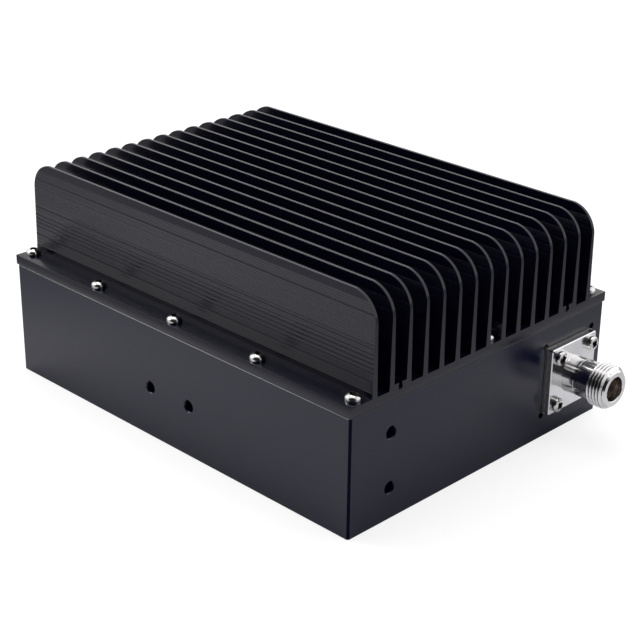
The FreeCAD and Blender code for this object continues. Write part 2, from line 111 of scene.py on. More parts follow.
class FinishTree(NodeTree):
    """The tree of a finish: one shader, and the patterns that drive it."""

    def __init__(self, name: str) -> None:
        """Starts a material with a plain shader.

        Args:
            name: the material's name.
        """
        self.material = bpy.data.materials.new(name)
        self.material.use_nodes = True
        super().__init__(self.material.node_tree)
        self.shader = self.add("ShaderNodeBsdfPrincipled")
        output = self.add("ShaderNodeOutputMaterial")
        self.join(self.shader.outputs["BSDF"], output.inputs["Surface"])

    def noise(self, stretch: Triple, scale: float, detail: float) -> bpy.types.NodeSocket:
        """A noise on the object's own coordinates.

        Args:
            stretch: how much the coordinates are scaled along each axis.
            scale: the noise's scale, per metre after the stretch.
            detail: the noise's octaves.

        Returns:
            The socket with the noise's value, from 0 to 1.
        """
        place = self.add("ShaderNodeTexCoord")
        mapping = self.add("ShaderNodeMapping", Scale=stretch)
        self.join(place.outputs["Object"], mapping.inputs["Vector"])
        texture = self.add("ShaderNodeTexNoise", Scale=scale, Detail=detail)
        self.join(mapping.outputs["Vector"], texture.inputs["Vector"])
        return texture.outputs["Fac"]

    def spread(self, value: bpy.types.NodeSocket, low: float, high: float) -> bpy.types.NodeSocket:
        """A noise's middle range stretched to run from low to high.

        Args:
            value: the socket with the noise.
            low: the result at the middle range's foot.
            high: the result at its top.

        Returns:
            The socket with the result.
        """
        foot, top = NOISE_MIDDLE
        remap = self.add("ShaderNodeMapRange", From_Min=foot, From_Max=top, To_Min=low, To_Max=high)
        self.join(value, remap.inputs["Value"])
        return remap.outputs["Result"]

    def blend(self, value: bpy.types.NodeSocket, dark: Triple, light: Triple) -> None:
        """Drives the base colour between two colours.

        Args:
            value: the socket that drives it, from 0 to 1.
            dark: the colour at 0.
            light: the colour at 1.
        """
        mix = self.add("ShaderNodeMix", data_type="RGBA")
        mix.inputs["A"].default_value = (*dark, 1.0)
        mix.inputs["B"].default_value = (*light, 1.0)
        self.join(value, mix.inputs["Factor"])
        self.join(mix.outputs["Result"], self.shader.inputs["Base Color"])

    def relief(self, value: bpy.types.NodeSocket, depth: float, strength: float) -> None:
        """Raises a pattern as fine bump.

        Args:
            value: the socket with the pattern.
            depth: the bump's depth in millimetres.
            strength: how much of the bump shows, from 0 to 1.
        """
        bump = self.add("ShaderNodeBump", Strength=strength, Distance=depth * METRES)
        self.join(value, bump.inputs["Height"])
        self.join(bump.outputs["Normal"], self.shader.inputs["Normal"])


@dataclass(frozen=True)
class Anodising:
    """Black anodised aluminium.

    The dye leaves almost no colour of its own, so the surface shows mostly what its clear
    oxide reflects. The colour and gloss cloud slightly, and a fine bump carries the marks of
    how the surface was worked. On an extrusion both are drawn out along Y.
    """

    name: str
    dark: Triple
    light: Triple
    gloss: tuple[float, float]
    grain: Grain
    bump: float
    oxide_ior: float = 1.45
    die_lines: Triple = (1.0, 0.012, 1.0)
    cloud_scale: float = 260.0
    mark_scale: float = 2600.0
    mark_depth: float = 0.04

    def material(self) -> bpy.types.Material:
        """Builds the finish."""
        tree = FinishTree(self.name)
        along = self.die_lines if self.grain is Grain.EXTRUDED else EVEN
        cloud = tree.noise(along, self.cloud_scale, 4.0)
        tree.blend(tree.spread(cloud, 0.0, 1.0), self.dark, self.light)
        tree.join(tree.spread(cloud, *self.gloss), tree.shader.inputs["Roughness"])
        marks = tree.noise(along, self.mark_scale, 2.0)
        tree.relief(marks, self.mark_depth, self.bump)
        tree.shader.inputs["IOR"].default_value = self.oxide_ior
        return tree.material


@dataclass(frozen=True)
class Metal:
    """Bare or plated metal, whose gloss varies along its turning or polishing marks.

    Brushing, from 0 to 1, draws its highlights out along Y, as a turned surface's rings do.
    """

    name: str
    colour: Triple
    shade: Triple
    gloss: tuple[float, float]
    grain: Grain
    bump: float
    brushing: float = 0.0
    rings: Triple = (0.02, 1.0, 0.02)
    ring_scale: float = 3200.0
    mark_scale: float = 900.0
    cloud_scale: float = 420.0
    mark_depth: float = 0.02

    def material(self) -> bpy.types.Material:
        """Builds the finish."""
        tree = FinishTree(self.name)
        tree.shader.inputs["Metallic"].default_value = 1.0
        if self.brushing:
            tree.shader.inputs["Anisotropic"].default_value = self.brushing
            along = tree.add("ShaderNodeCombineXYZ", Y=1.0)
            tree.join(along.outputs["Vector"], tree.shader.inputs["Tangent"])
        if self.grain is Grain.TURNED:
            marks = tree.noise(self.rings, self.ring_scale, 2.0)
        else:
            marks = tree.noise(EVEN, self.mark_scale, 2.0)
        cloud = tree.noise(EVEN, self.cloud_scale, 3.0)
        tree.blend(tree.spread(cloud, 0.0, 1.0), self.shade, self.colour)
        tree.join(tree.spread(marks, *self.gloss), tree.shader.inputs["Roughness"])
        tree.relief(marks, self.mark_depth, self.bump)
        return tree.material


@dataclass(frozen=True)
class Compound:
    """A non-metal, such as the insulator or the resistor's ceramic."""

    name: str
    dark: Triple
    light: Triple
    gloss: tuple[float, float]
    cloud_scale: float = 700.0

    def material(self) -> bpy.types.Material:
        """Builds the finish."""
        tree = FinishTree(self.name)
        cloud = tree.noise(EVEN, self.cloud_scale, 4.0)
        tree.blend(tree.spread(cloud, 0.0, 1.0), self.dark, self.light)
        tree.join(tree.spread(cloud, *self.gloss), tree.shader.inputs["Roughness"])
        return tree.material


LID_BLACK = Anodising("extruded_black", (0.0012, 0.0014, 0.0075), (0.0022, 0.0026, 0.012), (0.2, 0.26),
                      Grain.EXTRUDED, 0.04)
BOX_BLACK = Anodising("milled_black", (0.0014, 0.0022, 0.0155), (0.0019, 0.003, 0.0195), (0.2, 0.24),
                      Grain.MILLED, 0.004)
NICKEL = Metal("nickel_turned", (0.86, 0.85, 0.85), (0.78, 0.77, 0.77), (0.12, 0.17), Grain.TURNED, 0.02, 0.7)
NICKEL_FLAT = Metal("nickel_flat", (0.9, 0.89, 0.9), (0.84, 0.83, 0.84), (0.16, 0.22), Grain.MILLED, 0.04)
NICKEL_THREAD = Metal("nickel_thread", (0.9, 0.89, 0.89), (0.84, 0.83, 0.83), (0.06, 0.11),
                      Grain.POLISHED, 0.02)
# A darker copy of the nickel for the thread's grooves: painted shade.
NICKEL_ROOT_PAINTED_SHADE = Metal("nickel_root_painted_shade", (0.42, 0.41, 0.41), (0.34, 0.33, 0.33), (0.12, 0.2), Grain.POLISHED, 0.02)
# A near-black steel for the inside of the cross recesses: painted shade.
RECESS_PAINTED_SHADE = Metal("recess_painted_shade", (0.07, 0.065, 0.065), (0.035, 0.032, 0.032), (0.25, 0.4), Grain.MILLED, 0.1)
# A darker, bronze-toned metal for the inside of the bore: painted shade.
BORE_PAINTED_SHADE = Metal("bore_bronze_painted_shade", (0.6, 0.55, 0.52), (0.48, 0.43, 0.41), (0.2, 0.34), Grain.TURNED, 0.08)
BLOCK_METAL = Metal("block_milled", (0.75, 0.74, 0.71), (0.62, 0.61, 0.58), (0.5, 0.62), Grain.MILLED, 0.1)
STEEL = Metal("screw_steel", (0.8, 0.79, 0.78), (0.66, 0.65, 0.64), (0.1, 0.2), Grain.POLISHED, 0.06)
GOLD = Metal("tab_gold", (0.86, 0.66, 0.3), (0.7, 0.5, 0.2), (0.18, 0.3), Grain.TURNED, 0.08)
CONTACT = Metal("contact_bronze", (0.92, 0.8, 0.76), (0.8, 0.68, 0.64), (0.18, 0.3), Grain.TURNED, 0.08)
COPPER = Metal("carrier_copper", (0.78, 0.44, 0.3), (0.6, 0.32, 0.2), (0.25, 0.4), Grain.MILLED, 0.08)
INSULATOR = Compound("insulator_white", (0.68, 0.66, 0.62), (0.78, 0.77, 0.73), (0.35, 0.5))
CERAMIC = Compound("ceramic_white", (0.7, 0.69, 0.66), (0.82, 0.81, 0.79), (0.4, 0.55))


@dataclass(frozen=True)
class Mesher:
    """Makes pieces from arrays of points in millimetres.

    A piece is shaded smooth, apart from edges that turn by more than the angle sharp.
    """

    sharp: float = 30.0

    def piece(self, name: str, points: np.ndarray, faces: list[list[int]]) -> bpy.types.Object:
        """Makes a mesh object.

        Args:
            name: the object's name.
            points: an (n, 3) array in millimetres.
            faces: lists of point numbers, anticlockwise seen from outside.

        Returns:
            The new object, at the origin, unturned and unscaled.
        """
        mesh = bpy.data.meshes.new(name)
        mesh.from_pydata((points * METRES).tolist(), [], faces)
        mesh.validate()
        obj = bpy.data.objects.new(name, mesh)
        bpy.context.scene.collection.objects.link(obj)
        self.smooth(obj)
        return obj

    def smooth(self, obj: bpy.types.Object) -> None:
        """Shades a piece smooth, apart from its sharp edges.

        Args:
            obj: the piece.
        """
        mesh = obj.data
        mesh.polygons.foreach_set("use_smooth", np.ones(len(mesh.polygons), bool))
        mesh.set_sharp_from_angle(angle=math.radians(self.sharp))
        mesh.update()

    def carve(self, obj: bpy.types.Object, cutters: list[bpy.types.Object]) -> None:
        """Cuts closed shapes out of a piece and keeps the result as its mesh.

        Args:
            obj: the piece.
            cutters: the shapes to cut away, which are removed afterwards.
        """
        for cutter in cutters:
            cut = obj.modifiers.new("cut", "BOOLEAN")
            cut.operation, cut.solver, cut.object = "DIFFERENCE", "EXACT", cutter
        scene_state = bpy.context.evaluated_depsgraph_get()
        mesh = bpy.data.meshes.new_from_object(obj.evaluated_get(scene_state))
        obj.modifiers.clear()
        obj.data = mesh
        for cutter in cutters:
            bpy.data.objects.remove(cutter)
        self.smooth(obj)

    def rings(self, name: str, rings: np.ndarray, capped: bool, looped: bool = False) -> bpy.types.Object:
        """Skins a stack of rings, each a closed row of points.

        The faces between two rings are quads. Every ring runs anticlockwise seen from the
        side that the stack grows towards, so that the faces point outwards.

        Args:
            name: the object's name.
            rings: an (m, n, 3) array of points in millimetres.
            capped: closes the first and last ring with a flat face.
            looped: joins the last ring back to the first instead.

        Returns:
            The new object.
        """
        count, size = rings.shape[:2]
        index = np.arange(count * size).reshape(count, size)
        low = index if looped else index[:-1]
        high = np.roll(index, -1, axis=0) if looped else index[1:]
        quads = np.stack([low, np.roll(low, -1, 1), np.roll(high, -1, 1), high], -1).reshape(-1, 4)
        faces = quads.tolist()
        if capped:
            faces += [index[0][::-1].tolist(), index[-1].tolist()]
        return self.piece(name, rings.reshape(-1, 3), faces)


def turned_rings(profile: np.ndarray, centre: Triple, facing: Axis, count: int) -> np.ndarray:
    """Carries a profile round an axis.

    A point (r, h) of the profile becomes centre + h * facing + r * (cos t * side + sin t * rise),
    where side, rise and facing are at right angles and t takes count equal steps.

    Args:
        profile: an (m, 2) array of radius and height.
        centre: the point with height 0 on the axis.
        facing: the direction in which height grows.
        count: how many points each ring has.

    Returns:
        An (m, count, 3) array of points.
    """
    out = np.array(facing.value)
    side = np.array((1.0, 0.0, 0.0))
    rise = np.cross(out, side)
    turn = np.linspace(0.0, 2 * math.pi, count, endpoint=False)
    spoke = np.cos(turn)[:, None] * side + np.sin(turn)[:, None] * rise
    return np.array(centre) + profile[:, 1, None, None] * out + profile[:, 0, None, None] * spoke


def arc(centre: tuple[float, float], radius: float, start: float, end: float, steps: int) -> np.ndarray:
    """Points on an arc from one angle to another in degrees, both ends included."""
    angle = np.radians(np.linspace(start, end, steps + 1))
    return np.stack([centre[0] + radius * np.cos(angle), centre[1] + radius * np.sin(angle)], -1)


def dress(obj: bpy.types.Object, slot: str, node: str, *finishes: bpy.types.Material) -> None:
    """Gives a new piece its finishes and its body, and hides the CAD node that it stands for.

    Args:
        obj: the piece.
        slot: the name of its material slot; not used.
        node: the CAD node.
        finishes: its materials, the main one first.
    """
    obj.data.materials.clear()
    for finish in finishes:
        obj.data.materials.append(finish)
    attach(obj, BODY)
    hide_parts(node)
    log.info("%s: %d faces", obj.name, len(obj.data.polygons))


def face_middles(obj: bpy.types.Object) -> np.ndarray:
    """The middles of a piece's faces.

    Args:
        obj: the piece.

    Returns:
        An (n, 3) array in millimetres.
    """
    middles = np.empty(len(obj.data.polygons) * 3, np.float32)
    obj.data.polygons.foreach_get("center", middles)
    return middles.reshape(-1, 3) / METRES


def number_materials(obj: bpy.types.Object, numbers: np.ndarray) -> None:
    """Sets which of a piece's materials each face has, counted from 0."""
    obj.data.polygons.foreach_set("material_index", numbers.astype(np.int32))
    obj.data.update()


def cad_corners(node: str) -> tuple[np.ndarray, np.ndarray]:
    """A CAD node's lowest and highest corner in millimetres."""
    low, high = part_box(node)
    return np.array(low) / METRES, np.array(high) / METRES


@dataclass
class FinnedLid:
    """The extruded lid: a plate with tapered, ridged fins whose ends are rounded off."""

    width: float = 132.4
    depth: float = 174.0
    bottom: float = 43.6
    top: float = 47.4
    fin_top: float = 82.1
    fin_count: int = 15
    fin_pitch: float = 7.9107
    fin_root: float = 2.35
    fin_tip: float = 1.05
    tip_round: float = 0.15
    end_round: float = 10.2
    plate_round: float = 0.08
    plate_foot: float = 0.5
    foot_steps: int = 4
    base: float = 49.1
    ridge_start: float = 49.2
    ridge_end: float = 79.6
    ridge_pitch: float = 0.785
    ridge_root: float = 0.313
    ridge_depth: float = 0.115
    ridge_swing: float = 0.24
    ridge_fade: float = 0.55
    ridge_spread: float = 0.15
    ridge_turn: float = 1.7
    ports: tuple[int, int] = (2, 13)
    port_shoulder: float = 1.6
    port_slot: float = 1.5
    port_bore: float = 1.05
    screw_hole: float = 1.65
    spot_face: float = 3.05
    spot_height: float = 4.0
    drill_past: float = 1.0
    mesher: Mesher = field(default_factory=Mesher)

    def fin_x(self, index: int) -> float:
        """The centre of a fin, counted from 0 at the left."""
        return (index - (self.fin_count - 1) / 2) * self.fin_pitch

    def half(self, z: np.ndarray | float) -> np.ndarray | float:
        """Half a fin's thickness at a height, on its straight taper."""
        share = (z - self.top) / (self.fin_top - self.top)
        return (self.fin_root + (self.fin_tip - self.fin_root) * share) / 2

    def flank(self) -> np.ndarray:
        """The right flank of a fin from its base to the crown.

        Up to the ridges' end the offset is the taper less the depth of the grooves between
        the ridges. From each crest the flank draws in steeply over the first part of the
        pitch, and comes out again gently over the rest. Every second groove is deeper, by
        less and less towards the crown, and each differs a little by the sine of a turn
        times its number squared. Above the ridges comes a plain band and a quarter round.

        Returns:
            An (n, 2) array of offsets from the fin's middle and heights.
        """
        turns = int((self.ridge_end - self.ridge_start) / self.ridge_pitch)
        number, in_root = np.divmod(np.arange(2 * turns + 1), 2)
        z = self.ridge_start + (number + self.ridge_root * in_root) * self.ridge_pitch
        swing = self.ridge_swing * (1 - self.ridge_fade * number / turns) * (1 - 2 * (number % 2))
        stray = self.ridge_spread * np.sin(self.ridge_turn * number**2)
        depth = self.ridge_depth * (1.0 + swing + stray)
        ridged = np.stack([self.half(z) - in_root * depth, z], -1)
        arc_z = self.fin_top - self.end_round
        shoulder = self.fin_top - self.tip_round
        start, end = (math.asin((value - arc_z) / self.end_round) for value in (self.ridge_end, shoulder))
        plain_z = arc_z + self.end_round * np.sin(np.linspace(start, end, 6))
        plain = np.stack([self.half(plain_z), plain_z], -1)[:-1]
        tip = arc((self.half(shoulder) - self.tip_round, shoulder), self.tip_round, 0, 90, 5)
        return np.concatenate([[(self.half(self.base), self.base)], ridged, plain, tip])

    def root(self, x: float, side: int) -> np.ndarray:
        """The corner between a fin and the floor beside it, at its left (-1) or right (1)."""
        return np.array([(x + side * self.half(self.top), self.top)])

    def port(self, middle: float, left: float, right: float) -> np.ndarray:
        """A channel's floor with the keyhole screw port, from left to right.

        Args:
            middle: the channel's middle.
            left: the middle of the fin at its left.
            right: the middle of the fin at its right.

        Returns:
            An (n, 2) array of x and z.
        """
        raised = self.top + self.port_shoulder
        lean = math.degrees(math.asin(self.port_slot / 2 / self.port_bore))
        bore = arc((middle, self.top), self.port_bore, 90 + lean, 450 - lean, 14)
        slot = self.port_slot / 2
        return np.concatenate([
            [(left + self.half(raised), raised), (middle - slot, raised)], bore,
            [(middle + slot, raised), (right - self.half(raised), raised)]])

    def section(self) -> tuple[np.ndarray, list, list]:
        """The extrusion's outline, clockwise seen from the front.

        Returns:
            The (n, 2) outline as x and z, the numbers of each fin's left and right flank
            points from the base up, and the numbers of the plate's own points.
        """
        flank = self.flank()
        run, plate, fins, count = [], [], [], 0

        def put(points: np.ndarray, in_plate: bool) -> np.ndarray:
            """Adds points to the outline.

            Args:
                points: an (n, 2) array of x and z.
                in_plate: whether they are the plate's own.

            Returns:
                Their numbers.
            """
            nonlocal count
            numbers = np.arange(count, count + len(points))
            run.append(points)
            count += len(points)
            if in_plate:
                plate.extend(numbers.tolist())
            return numbers

        half_w, r, foot = self.width / 2, self.plate_round, self.plate_foot
        left_edge = np.concatenate([
            arc((-half_w + foot, self.bottom + foot), foot, 270, 180, self.foot_steps),
            arc((-half_w + r, self.top - r), r, 180, 90, 2)])
        put(left_edge, True)
        for index in range(self.fin_count):
            x = self.fin_x(index)
            if index not in self.ports:
                put(self.root(x, -1), True)
            left = put(np.stack([x - flank[:, 0], flank[:, 1]], -1), False)
            right = put(np.stack([x + flank[::-1, 0], flank[::-1, 1]], -1), False)[::-1]
            plate.extend([int(left[0]), int(right[0])])
            fins.append((left, right))
            if index + 1 in self.ports:
                nxt = self.fin_x(index + 1)
                put(self.port((x + nxt) / 2, x, nxt), True)
            else:
                put(self.root(x, 1), True)
        put(np.stack([-left_edge[::-1, 0], left_edge[::-1, 1]], -1), True)
        return np.concatenate(run), fins, plate

    def end_y(self, z: np.ndarray) -> np.ndarray:
        """How far the lid reaches from the middle along Y.

        The reach is half the depth, less a quarter circle at the fins' tops and a small one
        at the plate's foot.

        Args:
            z: the heights.

        Returns:
            The reach at each height.
        """
        rise = np.clip(z - (self.fin_top - self.end_round), 0.0, self.end_round)
        sink = np.clip(self.bottom + self.plate_foot - z, 0.0, self.plate_foot)
        drawn_in = self.plate_foot - np.sqrt(self.plate_foot**2 - sink**2)
        return self.depth / 2 - self.end_round + np.sqrt(self.end_round**2 - rise**2) - drawn_in

    def build(self, finish: bpy.types.Material) -> None:
        """Extrudes the section along Y, closes its ends, drills it and dresses it.

        Each end is closed by one face over the plate, and by strips of quads over the
        plate's rounded foot and over each fin.

        Args:
            finish: the anodising.
        """
        outline, fins, plate = self.section()
        count = len(outline)
        reach = self.end_y(outline[:, 1])
        front = np.stack([outline[:, 0], -reach, outline[:, 1]], -1)
        back = np.stack([outline[:, 0], reach, outline[:, 1]], -1)
        here = np.arange(count)
        there = np.roll(here, -1)
        faces = np.stack([here, there, there + count, here + count], -1).tolist()
        steps = self.foot_steps
        above = plate[steps:-steps]
        faces += [above[::-1], [number + count for number in above]]
        foot = (np.array(plate[:steps + 1]), np.array(plate[::-1][:steps + 1]))
        for left, right in [foot, *fins]:
            pairs = min(len(left), len(right)) - 1
            low_l, high_l, low_r, high_r = left[:pairs], left[1:], right[:pairs], right[1:]
            cap = np.stack([low_l, low_r, high_r, high_l], -1)
            faces += cap.tolist() + (cap[:, ::-1] + count).tolist()
        lid = self.mesher.piece("finned_lid", np.concatenate([front, back]), faces)
        self.mesher.carve(lid, self.drills())
        dress(lid, "anodised_black", "heatsink", finish)

    def drills(self) -> list[bpy.types.Object]:
        """The shapes drilled out of the lid.

        Returns:
            A hole under each lid screw, and a spot face over the front and back ones.
        """
        shapes = []
        for name in sorted(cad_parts):
            if not name.startswith("lid_screw"):
                continue
            low, high = cad_corners(name)
            x, y = (low[:2] + high[:2]) / 2
            depths = [(self.screw_hole, self.bottom - self.drill_past, self.top + self.drill_past)]
            if name.endswith(("front", "back")):
                depths.append((self.spot_face, self.top, self.top + self.spot_height))
            for radius, start, end in depths:
                rings = turned_rings(np.array([(radius, start), (radius, end)]), (x, y, 0.0), Axis.UP, 40)
                shapes.append(self.mesher.rings("drill", rings, capped=True))
        return shapes


@dataclass
class PanelConnector:
    """The flanged female connector, with its thread cut as a real helix."""

    flange: float = 25.4
    flange_thickness: float = 2.0
    flange_corner: float = 0.8
    flange_edge: float = 0.3
    hole_spacing: float = 18.26
    hole: float = 1.65
    barrel: float = 6.9
    barrel_root: float = 0.15
    barrel_line: float = 5.2
    line_half: float = 0.09
    line_depth: float = 0.07
    barrel_middle: float = 8.0
    thread: float = 7.94
    thread_pitch: float = 1.3
    thread_depth: float = 0.65
    thread_crest: float = 1.12
    thread_slope: float = 2.6
    thread_rows: int = 14
    painted_shade_root_share: float = 0.6
    thread_start: float = 10.8
    thread_end: float = 16.6
    lead_in: float = 0.5
    nose: float = 6.9
    nose_start: float = 17.3
    nose_end: float = 18.3
    nose_edge: float = 0.6
    mouth: float = 4.75
    socket: float = 4.55
    mouth_chamfer: float = 0.2
    socket_depth: float = 8.8
    line: float = 3.5
    mesher: Mesher = field(default_factory=Mesher)

    def angles(self) -> np.ndarray:
        """The angles of a ring's points.

        Returns:
            Even steps along the flange's sides, and small ones round its corners.
        """
        half, r = self.flange / 2, self.flange_corner
        corner = arc((half - r, half - r), r, 0, 90, 8)
        bend = np.arctan2(corner[:, 1], corner[:, 0])
        side = np.linspace(bend[-1] - math.pi / 2, bend[0], 31)[1:-1]
        quarter = np.concatenate([side, bend])
        return np.concatenate([quarter + turn * math.pi / 2 for turn in range(4)])

    def square(self, angle: np.ndarray, inset: float) -> np.ndarray:
        """The distance from the axis to a rounded square's edge, in each direction.

        The direction is folded into the first quarter. On a straight side the distance is
        half / cos, or half / sin; in the corner it is the far root of the ray's meeting
        with the corner's circle.

        Args:
            angle: the directions, in radians.
            inset: how far the square's edge is drawn in.

        Returns:
            The distances.
        """
        half, r = self.flange / 2 - inset, max(self.flange_corner - inset, 0.05)
        cosine, sine = np.abs(np.cos(angle)), np.abs(np.sin(angle))
        straight = half / np.maximum(cosine, sine)
        centre = half - r
        along = centre * (cosine + sine)
        root = np.sqrt(np.maximum(along**2 - 2 * centre**2 + r**2, 0.0))
        in_corner = straight * np.minimum(cosine, sine) > centre
        return np.where(in_corner, along + root, straight)

    def thread_radius(self, height: np.ndarray, angle: np.ndarray) -> np.ndarray:
        """The thread's radius at a height and angle.

        The phase height / pitch - angle / turn, less its whole part, gives a triangle wave
        that is highest at a phase of a half, cut off to a flat crest and root. The wave is
        cut off again by the two lead-in cones.

        Args:
            height: the heights from the flange's front, as a column.
            angle: the angles, as a row.

        Returns:
            The radius for each height and angle.
        """
        phase = np.mod(height / self.thread_pitch - angle / (2 * math.pi), 1.0)
        wave = np.clip(self.thread_crest - self.thread_slope * np.abs(phase - 0.5), 0.0, 1.0)
        radius = self.thread - self.thread_depth * (1.0 - wave)
        back = self.barrel + (height - self.thread_start) * (self.thread - self.barrel) / self.lead_in
        slope = (self.thread - self.nose) / (self.nose_start - self.thread_end)
        front = self.thread - (height - self.thread_end) * slope
        return np.minimum(radius, np.minimum(back, front))

    def part_metals(self, body: bpy.types.Object, x: float, z: float, back: float) -> None:
        """Gives flange, bore, thread and thread root their metals, as the second to fifth. The bore's and the
        thread root's metals are darker copies that are painted shade.

        A face is told by its middle: on the flange if it is behind the flange's front and
        outside the barrel, in the bore if it is nearer to the axis than the socket's wall and
        behind the mouth, and on the thread or nose if it is before the thread's start. It is
        in the thread's root if it lies deeper than a share of the thread, before the lead-in.
        The bore and the thread's root get darker metals, which are painted shade.

        Args:
            body: the connector's shell.
            x: the axis's place across.
            z: the axis's height.
            back: the place of the flange's back along Y.
        """
        middles = face_middles(body)
        radius = np.hypot(middles[:, 0] - x, middles[:, 2] - z)
        height = back - self.flange_thickness - middles[:, 1]
        # The bore's faces take the darker, brownish metal: painted shade inside the bore.
        in_bore = (radius < self.socket + 2 * SLACK) & (height < self.nose_end - self.mouth_chamfer)
        in_bore &= height > SLACK - self.flange_thickness
        on_flange = (radius > self.barrel + self.barrel_root) & (height < SLACK)
        on_thread = (height > self.thread_start) & ~in_bore
        # Faces deep in the thread's grooves take the darker nickel: painted shade.
        in_root = radius < self.thread - self.painted_shade_root_share * self.thread_depth
        in_root &= on_thread & (height < self.thread_end)
        number_materials(body, on_flange + 2 * in_bore + 3 * on_thread + in_root)

    def build(self, *metals: bpy.types.Material) -> None:
        """Skins flange, barrel, thread, nose and bore as one closed loop of rings.

        Args:
            metals: those of the barrel, flange, bore, thread and thread root; the bore's and the thread
                root's are darkened as painted shade.
        """
        low, high = cad_corners("connector_body")
        x, z, back = (low[0] + high[0]) / 2, (low[2] + high[2]) / 2, high[1]
        angle = self.angles()
        front, edge = self.flange_thickness, self.flange_edge
        end = front + self.nose_end
        root = arc((self.barrel + self.barrel_root, front + self.barrel_root), self.barrel_root, 270, 180, 4)
        line = front + self.barrel_line
        round_rows = [
            *root, (self.barrel, front + 2 * self.barrel_root),
            (self.barrel, line - self.line_half), (self.barrel - self.line_depth, line),
            (self.barrel, line + self.line_half),
            (self.barrel, front + self.barrel_middle), (self.barrel, front + self.thread_start)]
        turns = (self.nose_start - self.thread_start) / self.thread_pitch
        heights = np.linspace(self.thread_start, self.nose_start, int(self.thread_rows * turns) + 1)[1:]
        cut = self.thread_radius(heights[:, None], angle[None, :])
        inner = [(self.nose, end - self.nose_edge), (self.nose - self.nose_edge, end), (self.mouth, end),
                 (self.socket, end - self.mouth_chamfer), (self.socket, end - self.socket_depth),
                 (self.line, end - self.socket_depth), (self.line, 0.0)]
        rows = [(0.0, self.square(angle, 0.0)), (front - edge, self.square(angle, 0.0)),
                (front, self.square(angle, edge))]
        rows += [(height, np.full(len(angle), radius)) for radius, height in round_rows]
        rows += [(front + height, radius) for height, radius in zip(heights, cut)]
        rows += [(height, np.full(len(angle), radius)) for radius, height in inner]
        heights = np.array([height for height, _ in rows])[:, None]
        radii = np.stack([radius for _, radius in rows])
        # Angles run from +X towards +Z, which is anticlockwise seen from the front
        across, up = radii * np.cos(angle), radii * np.sin(angle)
        along = np.broadcast_to(back - heights, radii.shape)
        rings = np.stack([x + across, along, z + up], -1)
        body = self.mesher.rings("connector_shell", rings, capped=False, looped=True)
        self.mesher.carve(body, self.drills(x, z, back))
        dress(body, "nickel_plate", "connector_body", *metals)
        self.part_metals(body, x, z, back)

    def drills(self, x: float, z: float, back: float) -> list[bpy.types.Object]:
        """The four screw holes of the flange, as shapes to cut away.

        Args:
            x: the axis's place across.
            z: the axis's height.
            back: the place of the flange's back along Y.

        Returns:
            The shapes.
        """
        half = self.hole_spacing / 2
        profile = np.array([(self.hole, -1.0), (self.hole, self.flange_thickness + 0.5)])
        shapes = []
        for across in (-half, half):
            for up in (-half, half):
                rings = turned_rings(profile, (x + across, back, z + up), Axis.FORWARD, 36)
                shapes.append(self.mesher.rings("drill", rings, capped=True))
        return shapes


